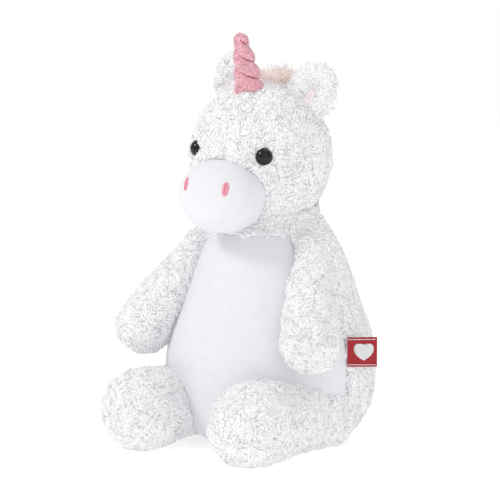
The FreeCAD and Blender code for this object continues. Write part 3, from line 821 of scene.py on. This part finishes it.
def make_ear(name, side):
    hinge = JOINTS[f"{name}_ear_fold"]
    base = Vector(hinge["pos_m"])
    across = Vector(hinge["axis"]).normalized()
    rise = (middle(f"{name}_ear_back") - base)
    rise = (rise - across * rise.dot(across)).normalized()
    front = across.cross(rise)
    if front.y > 0:
        front = -front
    wide, deep, tall, lift = 17.5 * MM, 7.5 * MM, 22.5 * MM, 14 * MM

    def placed(x, y, z):
        return tuple(base + across * x + front * y + rise * z)

    def cup(x, z):
        """How deep the hollow of the ear is."""
        return 9.5 * MM * math.exp(-(x / (8.5 * MM)) ** 2 - ((z - lift) / (13 * MM)) ** 2)

    rings = []
    for turn in np.linspace(-math.pi / 2, math.pi / 2, 62)[1:-1]:
        ring = []
        for a in np.linspace(0, 2 * math.pi, 90, endpoint=False):
            x = wide * math.cos(turn) * math.cos(a)
            y = deep * math.cos(turn) * math.sin(a)
            z = lift + tall * math.sin(turn)
            if y > 0:
                y = y - cup(x, z)
            ring.append(placed(x, y + 1.5 * MM * (x / wide) ** 2, z))
        rings.append(ring)
    skin = closed_grid(f"{name}_ear_backing", rings, WHITE_SKIN)
    lumps(skin, fine=0.2 * MM, coarse=0.5 * MM, seed=41 + side, coarse_size=18 * MM)
    # the lining is a thin cupped sheet in the hollow
    lining_rings = []
    for share in np.linspace(0.04, 1, 26):
        ring = []
        for a in np.linspace(0, 2 * math.pi, 64, endpoint=False):
            x = LINING_HALF[0] * share * math.cos(a)
            z = lift - 4 * MM + LINING_HALF[1] * share * math.sin(a)
            inside = max(1 - (x / wide) ** 2 - ((z - lift) / tall) ** 2, 0)
            ring.append(placed(x, deep * math.sqrt(inside) - cup(x, z) + 1.0 * MM, z))
        lining_rings.append(ring)
    lining = closed_grid(f"{name}_ear_lining_velboa", lining_rings, LINING, closed_ends=False)
    fill_hole(lining, lining_rings[0])
    solidify(lining, 0.9 * MM)
    centre = np.array(placed(0, 0, lift))
    forward = np.array(front)
    sideways = np.array(across)
    up = np.array(rise)

    def furry(points, normals):
        local = points - centre
        flat = np.hypot(local @ sideways / (3.4 * MM), (local @ up + 4 * MM) / (5.6 * MM))
        hollow = (local @ forward > -4 * MM) & (flat < 0.92) & (normals @ forward > 0.0)
        return ~hollow & (np.linalg.norm(points - np.array(HEAD), axis=1) > HEAD_RADIUS)

    fluff = pile(f"{name}_ear_pile", [skin], 4800, WHITE_PILE, 43 + side, length=4.2, radius=1.2,
                 keep=furry)
    finish_piece(skin, f"{name}_ear", [f"{name}_ear_back"])
    finish_piece(fluff, f"{name}_ear")
    finish_piece(lining, f"{name}_ear", [f"{name}_ear_lining"])


def fill_hole(thing, ring):
    """Closes the small hole in the middle of a disc-like grid."""
    mesh = thing.data
    points = [tuple(v.co) for v in mesh.vertices] + [tuple(np.mean(ring, axis=0))]
    faces = [list(face.vertices) for face in mesh.polygons]
    count = len(ring)
    for j in range(count):
        faces.append([(j + 1) % count, j, len(points) - 1])
    mesh.clear_geometry()
    mesh.from_pydata(points, [], faces)
    mesh.update()
    mesh.shade_smooth()


# ---- limbs ---------------------------------------------------------------------------


def limb_skin(name, start, end, shape, flatten, side, columns=110, rows=120):
    """A stuffed tube along a straight line. shape gives its radius by the distance along the
    line, in shares of the line; past 1 it closes in a round end. flatten(share) gives its
    radius sideways as a share of its radius the other way."""
    run = (end - start).normalized()
    length = (end - start).length
    outward = Vector((side, 0, 0))
    first = (outward - run * outward.dot(run)).normalized()
    second = run.cross(first)
    places, radii = shape
    tip = radii[-1]
    body_rows = [(s, float(through(places, radii, s))) for s in np.linspace(0, 1, rows)]
    rings = []
    for s, radius in body_rows:
        rings.append((start + run * (s * length), radius, flatten(s)))
    for turn in np.linspace(0, math.pi / 2, 40)[1:-1]:
        rings.append((end + run * (tip * math.sin(turn)), tip * math.cos(turn) ** 0.92, flatten(1)))
    first_radius = radii[0]
    for turn in np.linspace(0, math.pi / 2, 14)[1:-1]:
        place = start - run * (0.6 * first_radius * math.sin(turn))
        rings.insert(0, (place, first_radius * math.cos(turn), flatten(0)))
    shaped = []
    for place, radius, thin in rings:
        ring = []
        for a in np.linspace(0, 2 * math.pi, columns, endpoint=False):
            across = first * (radius * thin * math.cos(a))
            ring.append(tuple(place + across + second * (radius * math.sin(a))))
        shaped.append(ring)
    return closed_grid(name, shaped, WHITE_SKIN)


HAND_RADIUS = 19 * MM
FOOT_RADIUS = 28 * MM


def make_arm(name, side):
    body = f"{name}_arm"
    low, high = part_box(f"{name}_arm_cover")
    reach = high.x if side > 0 else low.x
    hand = Vector((reach - side * HAND_RADIUS, low.y + HAND_RADIUS, low.z + HAND_RADIUS))
    hand -= Vector((side * 2.5 * MM, 0, 0))
    shoulder = pivot(f"{name}_arm_raise") - Vector((side * 3.5 * MM, 0, 0))
    run = (hand - shoulder).normalized()
    shape = ((0, 0.2, 0.45, 0.75, 1), tuple(r * MM for r in (14.5, 15.8, 17.8, 20.4, 21.0)))
    skin = limb_skin(f"{name}_arm_backing", shoulder, hand, shape,
                     lambda s: 0.72 + 0.24 * float(smooth(0, 0.6, s)), side)
    anchor = np.array(shoulder)
    puff(skin, lambda p: 1 - smooth(5 * MM, 30 * MM, (p - anchor) @ np.array(run)), limit=1.6 * MM)
    lumps(skin, fine=0.9 * MM, coarse=0.9 * MM, seed=51 + side, fine_size=7 * MM, coarse_size=22 * MM)
    fluff = pile(f"{name}_arm_pile", [skin], 8200, WHITE_PILE, 53 + side)
    bend = ("torso", body, shoulder - run * 6 * MM, shoulder + run * 26 * MM)
    finish_piece(skin, body, [f"{name}_arm_cover", f"{name}_arm_fill"], bend)
    finish_piece(fluff, body, (), bend)


def make_leg(name, side):
    body = f"{name}_leg"
    low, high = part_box(f"{name}_leg_cover")
    reach = high.x if side > 0 else low.x
    foot = Vector((reach - side * FOOT_RADIUS, low.y + FOOT_RADIUS, high.z - FOOT_RADIUS))
    hip = pivot(f"{name}_leg_lift")
    run = (foot - hip).normalized()
    shape = ((0, 0.25, 0.5, 0.8, 1), tuple(r * MM for r in (27.0, 26.5, 26.0, 28.2, 29.2)))
    skin = limb_skin(f"{name}_leg_backing", hip, foot, shape, lambda s: 1.0, side)
    points = mesh_points(skin)
    along = (points - np.array(hip)) @ np.array(run) / (foot - hip).length
    # the foot stands up from the shin and is a little longer at its sole
    up = smooth(0.55, 1.1, along)
    points[:, 2] += (points[:, 2] - foot.z) * 0.05 * up
    points[:, 1] -= 3 * MM * smooth(1.0, 1.4, along) * smooth(40 * MM, 8 * MM, points[:, 2])
    set_points(skin, above_floor(points, 0.6 * MM))
    anchor = np.array(hip)
    puff(skin, lambda p: 1 - smooth(10 * MM, 40 * MM, (p - anchor) @ np.array(run)), limit=1.5 * MM)
    lumps(skin, fine=0.9 * MM, coarse=1.0 * MM, seed=61 + side, fine_size=7 * MM, coarse_size=26 * MM)

    def off_floor(points, normals):
        return points[:, 2] > 1.2 * MM

    fluff = pile(f"{name}_leg_pile", [skin], 11600, WHITE_PILE, 63 + side, keep=off_floor)
    bend = ("torso", body, hip - run * 8 * MM, hip + run * 36 * MM)
    finish_piece(skin, body, [f"{name}_leg_cover", f"{name}_leg_fill"], bend)
    finish_piece(fluff, body, (), bend)


# ---- neck, forelock, mane and tail ---------------------------------------------------


def make_neck():
    centre = pivot("head_nod")
    rings = []
    for share in np.linspace(-1, 1, 40):
        radius = 38 * MM - 1 * MM * share
        height = centre.z + 8 * MM + 10 * MM * share
        angles = np.linspace(0, 2 * math.pi, 140, endpoint=False)
        rings.append([(radius * math.cos(a), radius * math.sin(a) - 3 * MM, height) for a in angles])
    skin = closed_grid("neck_backing", rings, WHITE_SKIN)
    lumps(skin, seed=71)
    bend = ("neck", "head", centre + Vector((0, 0, 2 * MM)), centre + Vector((0, 0, 16 * MM)))

    def outside(points, normals):
        return np.abs(normals[:, 2]) < 0.7

    fluff = pile("neck_pile", [skin], 4200, WHITE_PILE, 73, keep=outside)
    finish_piece(skin, "neck", ["neck_fill"], bend)
    finish_piece(fluff, "neck", (), bend)


def make_forelock():
    """A tuft that stands up behind the horn."""
    centre = middle("forelock")
    reach = half("forelock")
    rings = egg_rings(centre - Vector((0, 0, 3 * MM)), reach.x * 0.8, reach.y * 0.8, reach.z * 0.9,
                      30, 60)
    core = closed_grid("forelock_backing", rings, PINK_PILE)
    top = centre.z - 2 * MM

    def upper(points, normals):
        return points[:, 2] > top - 4 * MM

    def stand(points):
        away = points - np.array(centre)
        away[:, 2] = np.abs(away[:, 2]) + 6 * MM
        return unit(away) * 3

    fluff = pile("forelock_pile", [core], 2600, PINK_PILE, 81, length=11.0, radius=0.55, lift=1.35,
                 swirl=12, curl=1.0, keep=upper, comb=stand)
    finish_piece(core, "head", ["forelock"])
    finish_piece(fluff, "head")


def make_mane():
    """A furry strip down the back of the head."""
    low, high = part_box("mane")
    width = 8 * MM
    rings = []
    for turn in np.linspace(1.25, -0.62, 80):
        out = Vector((0, math.cos(turn), math.sin(turn)))
        side_axis = Vector((1, 0, 0))
        place = out * (HEAD_RADIUS + 1.0 * MM)
        taper = math.sqrt(max(math.sin(math.pi * min(max((1.25 - turn) / 1.87, 0.02), 0.98)), 0.0))
        ring = []
        for a in np.linspace(0, 2 * math.pi, 40, endpoint=False):
            across = side_axis * (width * taper * math.cos(a))
            local = place + across + out * (4.2 * MM * taper * math.sin(a))
            ring.append(tuple(tilt_point(local)))
        rings.append(ring)
    core = closed_grid("mane_backing", rings, PINK_PILE)

    def outer(points, normals):
        return np.linalg.norm(points - np.array(HEAD), axis=1) > HEAD_RADIUS + 1.5 * MM

    fluff = pile("mane_pile", [core], 6500, PINK_PILE, 85, length=10.0, radius=0.5, lift=1.0,
                 swirl=14, curl=1.5, keep=outer)
    finish_piece(core, "head", ["mane"])
    finish_piece(fluff, "head")


def make_tail():
    start = pivot("tail_swing")
    low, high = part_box("tail")
    end = Vector((start.x, high.y - 11 * MM, low.z + 11 * MM))
    shape = ((0, 0.4, 1), (5 * MM, 7 * MM, 9 * MM))
    core = limb_skin("tail_backing", start - Vector((0, 9 * MM, -3 * MM)), end, shape,
                     lambda s: 1.0, 1, columns=50, rows=50)
    core.data.materials[0] = PINK_PILE

    def hang(points):
        return np.tile(np.array((end - start).normalized()) * 3.5, (len(points), 1))

    fluff = pile("tail_pile", [core], 5200, PINK_PILE, 91, length=12.0, radius=0.55, lift=0.8,
                 swirl=16, curl=1.4, comb=hang)
    finish_piece(core, "tail", ["tail"])
    finish_piece(fluff, "tail")


# ---- label ---------------------------------------------------------------------------


def make_label():
    """A folded woven ribbon as one closed slab, round at its fold, with threads along its edges
    and a plain heart on both faces."""
    base = pivot("label_flap")
    turn = math.radians(35)
    out = Vector((math.cos(turn), math.sin(turn), 0))
    face = Vector((math.sin(turn), -math.cos(turn), 0))
    length = 22.0 * MM
    tall = 22.5 * MM
    half_thick = 0.55 * MM
    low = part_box("side_label")[0].z

    def placed(along, height, depth):
        wave = 0.7 * MM * math.sin(along / length * 3.0 + height / tall * 1.4)
        rise = Vector((0, 0, low - base.z + height))
        return tuple(base + out * (along - 1.5 * MM) + face * (depth + wave) + rise)

    rings = []
    steps = 40
    for row in range(33):
        height = tall * row / 32
        ring = []
        for i in range(steps):
            ring.append(placed(length * i / (steps - 1), height, half_thick))
        for i in range(7):
            angle = math.pi / 2 - math.pi * (i + 1) / 8
            along = length + half_thick * math.cos(angle)
            ring.append(placed(along, height, half_thick * math.sin(angle)))
        for i in range(steps):
            ring.append(placed(length * (steps - 1 - i) / (steps - 1), height, -half_thick))
        rings.append(ring)
    ribbon = closed_grid("side_label_ribbon", rings, RIBBON)
    finish_piece(ribbon, "label", ["side_label"])
    threads = []
    for sign in (1, -1):
        depth = sign * 0.7 * MM
        # plain lines of thread along the two woven edges
        for height in (1.6 * MM, tall - 1.6 * MM):
            path = [placed(length * s, height, depth) for s in np.linspace(0.02, 0.97, 40)]
            threads.append(cord_along("thread", path, 0.28 * MM, RIBBON_WHITE, sides=6))
        # the heart is filled with rows of thread
        middle_along = length * 0.56
        size = 6.6 * MM
        for row in np.linspace(-0.98, 0.92, 30):
            spans = heart_spans(row)
            for left, right in spans:
                path = [placed(middle_along + sign * size * s, tall / 2 + size * row, depth)
                        for s in np.linspace(left, right, 8)]
                threads.append(cord_along("thread", path, 0.27 * MM, RIBBON_WHITE, sides=6))
    heart = join("side_label_threads", threads)
    finish_piece(heart, "label")


def heart_spans(row):
    """Where a heart of half-height 1 is filled at a height, as pairs of left and right."""
    across = np.linspace(-1.2, 1.2, 241)
    up = row * 1.12 + 0.12
    inside = (across ** 2 + up ** 2 - 1) ** 3 - across ** 2 * up ** 3 < 0
    spans = []
    start = None
    for i, filled in enumerate(inside):
        if filled and start is None:
            start = across[i]
        if not filled and start is not None:
            if across[i] - start > 0.12:
                spans.append((start, across[i]))
            start = None
    return spans


# ---- carried-over hard pieces --------------------------------------------------------


def dress_frame():
    """Materials for the pieces whose CAD shape stays."""
    finishes = {
        "left_eye": EYE, "right_eye": EYE,
        "left_eye_washer": HARD_WHITE, "right_eye_washer": HARD_WHITE,
        "zip_tape_front": TAPE, "zip_tape_back": TAPE,
        "zip_teeth_front": HARD_WHITE, "zip_teeth_back": HARD_WHITE,
        "zip_stops": HARD_WHITE, "zip_slider": HARD_WHITE, "zip_pull": HARD_WHITE,
    }
    for node, material in finishes.items():
        thing = frame["nodes"][node]
        thing.data.materials.clear()
        thing.data.materials.append(material)


# ---- camera, light and floor ---------------------------------------------------------


def make_camera():
    azimuth, elevation = math.radians(35), math.radians(7)
    distance = 1.5
    right = Vector((math.cos(azimuth), math.sin(azimuth), 0))
    back = Vector((math.sin(azimuth) * math.cos(elevation), -math.cos(azimuth) * math.cos(elevation),
                   math.sin(elevation)))
    target = Vector((0, 0, 0.144)) - right * 0.016
    data = bpy.data.cameras.new("camera")
    data.lens = 139
    data.sensor_width = 36
    camera = bpy.data.objects.new("camera", data)
    bpy.context.collection.objects.link(camera)
    camera.location = target + back * distance
    camera.rotation_euler = back.to_track_quat("Z", "Y").to_euler()
    bpy.context.scene.camera = camera


def area_light(name, place, aim, size, power):
    data = bpy.data.lights.new(name, "AREA")
    data.size = size
    data.energy = power
    lamp = bpy.data.objects.new(name, data)
    bpy.context.collection.objects.link(lamp)
    lamp.location = place
    lamp.rotation_euler = (Vector(place) - Vector(aim)).to_track_quat("Z", "Y").to_euler()


def make_studio():
    world = bpy.data.worlds.new("studio")
    bpy.context.scene.world = world
    world.use_nodes = True
    # the camera sees pure white, and the toy is lit by a dimmer white
    nodes = world.node_tree.nodes
    links = world.node_tree.links
    nodes["Background"].inputs["Color"].default_value = (1, 1, 1, 1)
    ray = nodes.new("ShaderNodeLightPath")
    strength = nodes.new("ShaderNodeMapRange")
    strength.inputs["To Min"].default_value = 0.72
    strength.inputs["To Max"].default_value = 1.0
    links.new(ray.outputs["Is Camera Ray"], strength.inputs["Value"])
    links.new(strength.outputs["Result"], nodes["Background"].inputs["Strength"])
    area_light("key", (-0.7, -1.2, 1.3), (0, 0, 0.12), 0.35, 8)
    area_light("fill", (1.3, -0.9, 0.8), (0, 0, 0.12), 1.0, 2.0)
    area_light("top", (0.1, 0.3, 1.6), (0, 0, 0.1), 1.0, 3.0)
    paper = fabric("floor_paper", (0.98, 0.98, 0.98), (0.96, 0.96, 0.96), 2, sheen=0, glow=0.33)
    corners = [(-4, -4, 0), (4, -4, 0), (4, 4, 0), (-4, 4, 0)]
    floor = new_object("floor", corners, [(0, 1, 2, 3)], paper, False)
    scene = bpy.context.scene
    scene.view_settings.view_transform = "Standard"
    scene.view_settings.look = "None"


make_torso()
make_head()
make_muzzle()
make_nostrils()
make_horn()
for name, side in SIDES.items():
    make_ear(name, side)
    make_arm(name, side)
    make_leg(name, side)
make_neck()
make_forelock()
make_mane()
make_tail()
make_label()
dress_frame()
make_camera()
make_studio()
